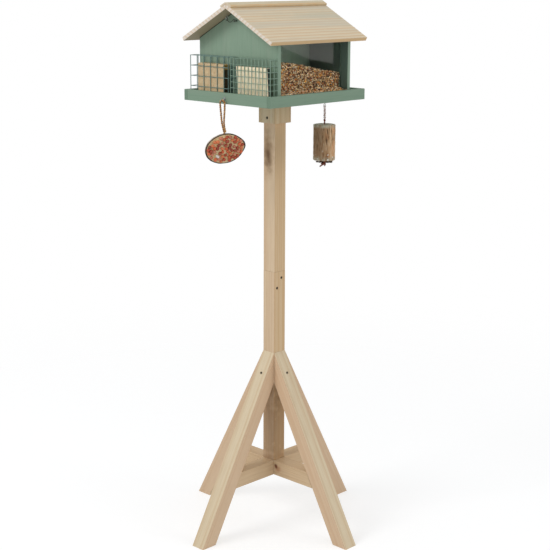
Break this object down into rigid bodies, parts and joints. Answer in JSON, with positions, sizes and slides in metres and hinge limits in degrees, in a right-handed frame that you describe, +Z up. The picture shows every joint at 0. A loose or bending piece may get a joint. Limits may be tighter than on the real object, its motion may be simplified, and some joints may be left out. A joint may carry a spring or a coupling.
{
  "type": "bird table",
  "caption": "Free-standing timber bird table: splayed legs, post and green tray under a pitched roof with a seed hopper, suet cages, a coconut and a log feeder",
  "frame": {"origin": "on the ground, under the post's axis", "axes": "+Z up; X along the roof's ridge with the suet cages at -X; the clear front pane faces -Y"},
  "size_m": [0.5672, 0.5672, 1.397],
  "materials": {
    "pine": "planed softwood, unfinished",
    "green_paint": "softwood under matt sage green stain",
    "dark_screws": "dark oxide wood screws",
    "bright_wire": "zinc plated wire",
    "clear_acrylic": "clear sheet",
    "seed": "mixed bird seed",
    "cage_wire": "green plastic coated wire",
    "suet_tan": "pressed suet, tan",
    "suet_cream": "pressed suet, cream",
    "jute": "twisted jute",
    "coconut_shell": "dry coconut shell",
    "nut_fat": "fat with red peanuts",
    "pale_cord": "twisted pale cord",
    "bark": "rough bark",
    "twig": "dark twig",
    "brown_tie": "brown twine"
  },
  "bodies": {
    "table": {"leg_right": "pine", "leg_back": "pine", "leg_left": "pine", "leg_front": "pine", "brace_bar_side": "pine", "brace_bar_front": "pine", "lower_post": "pine", "upper_post": "pine", "collar_front": "pine", "collar_back": "pine", "collar_left": "pine", "collar_right": "pine", "tray_floor": "green_paint", "rim_front": "green_paint", "rim_back": "green_paint", "rim_left": "green_paint", "rim_right": "green_paint", "gable_left": "green_paint", "gable_right": "green_paint", "divider": "green_paint", "leg_screw_right": "dark_screws", "leg_screw_back": "dark_screws", "leg_screw_left": "dark_screws", "leg_screw_front": "dark_screws", "post_foot_screw": "dark_screws", "post_screw_upper": "dark_screws", "post_screw_lower": "dark_screws", "collar_screw_left": "dark_screws", "collar_screw_right": "dark_screws", "tray_screw_front": "dark_screws", "tray_screw_back": "dark_screws", "gable_eye_left": "bright_wire", "gable_eye_right": "bright_wire", "rim_hook": "bright_wire", "log_eye": "bright_wire", "seed_front": "seed", "seed_back": "seed", "cage_coarse": "cage_wire", "cage_fine": "cage_wire"},
    "roof": {"roof_panel_front": "pine", "roof_panel_back": "pine", "ridge_cap": "pine", "roof_eye_left": "bright_wire", "roof_eye_right": "bright_wire"},
    "latch_left": {"latch_hook_left": "bright_wire"},
    "latch_right": {"latch_hook_right": "bright_wire"},
    "front_pane": {"pane_front": "clear_acrylic"},
    "back_pane": {"pane_back": "clear_acrylic"},
    "thick_suet": {"suet_block_thick": "suet_tan"},
    "thin_suet": {"suet_block_thin": "suet_cream"},
    "coconut": {"jute_loop": "jute", "coconut_shell": "coconut_shell", "coconut_fill": "nut_fat"},
    "log": {"log_cord": "pale_cord", "log_body": "bark", "log_twig": "twig", "log_tie": "brown_tie"}
  },
  "joints": [
    {"name": "roof_lift", "type": "slide", "parent": "table", "child": "roof", "axis": [0, 0, 1], "range_m": [0, 0.12]},
    {"name": "latch_left_turn", "type": "hinge", "parent": "roof", "child": "latch_left", "pos_m": [-0.139, 0.031, 1.35482], "axis": [-1, 0, 0], "range_deg": [0, 35]},
    {"name": "latch_right_turn", "type": "hinge", "parent": "roof", "child": "latch_right", "pos_m": [0.139, 0.031, 1.35482], "axis": [-1, 0, 0], "range_deg": [0, 35]},
    {"name": "front_pane_lift", "type": "slide", "parent": "table", "child": "front_pane", "axis": [0, 0, 1], "range_m": [0, 0.014]},
    {"name": "back_pane_lift", "type": "slide", "parent": "table", "child": "back_pane", "axis": [0, 0, 1], "range_m": [0, 0.014]},
    {"name": "thick_suet_lift", "type": "slide", "parent": "table", "child": "thick_suet", "axis": [0, 0, 1], "range_m": [0, 0.065]},
    {"name": "thin_suet_lift", "type": "slide", "parent": "table", "child": "thin_suet", "axis": [0, 0, 1], "range_m": [0, 0.065]},
    {"name": "coconut_swing", "type": "hinge", "parent": "table", "child": "coconut", "pos_m": [-0.181, 0.0048, 1.1557], "axis": [1, 0, 0], "range_deg": [-35, 35]},
    {"name": "log_swing", "type": "hinge", "parent": "table", "child": "log", "pos_m": [0.027, -0.1485, 1.1401], "axis": [0, 1, 0], "range_deg": [-30, 30]}
  ]
}
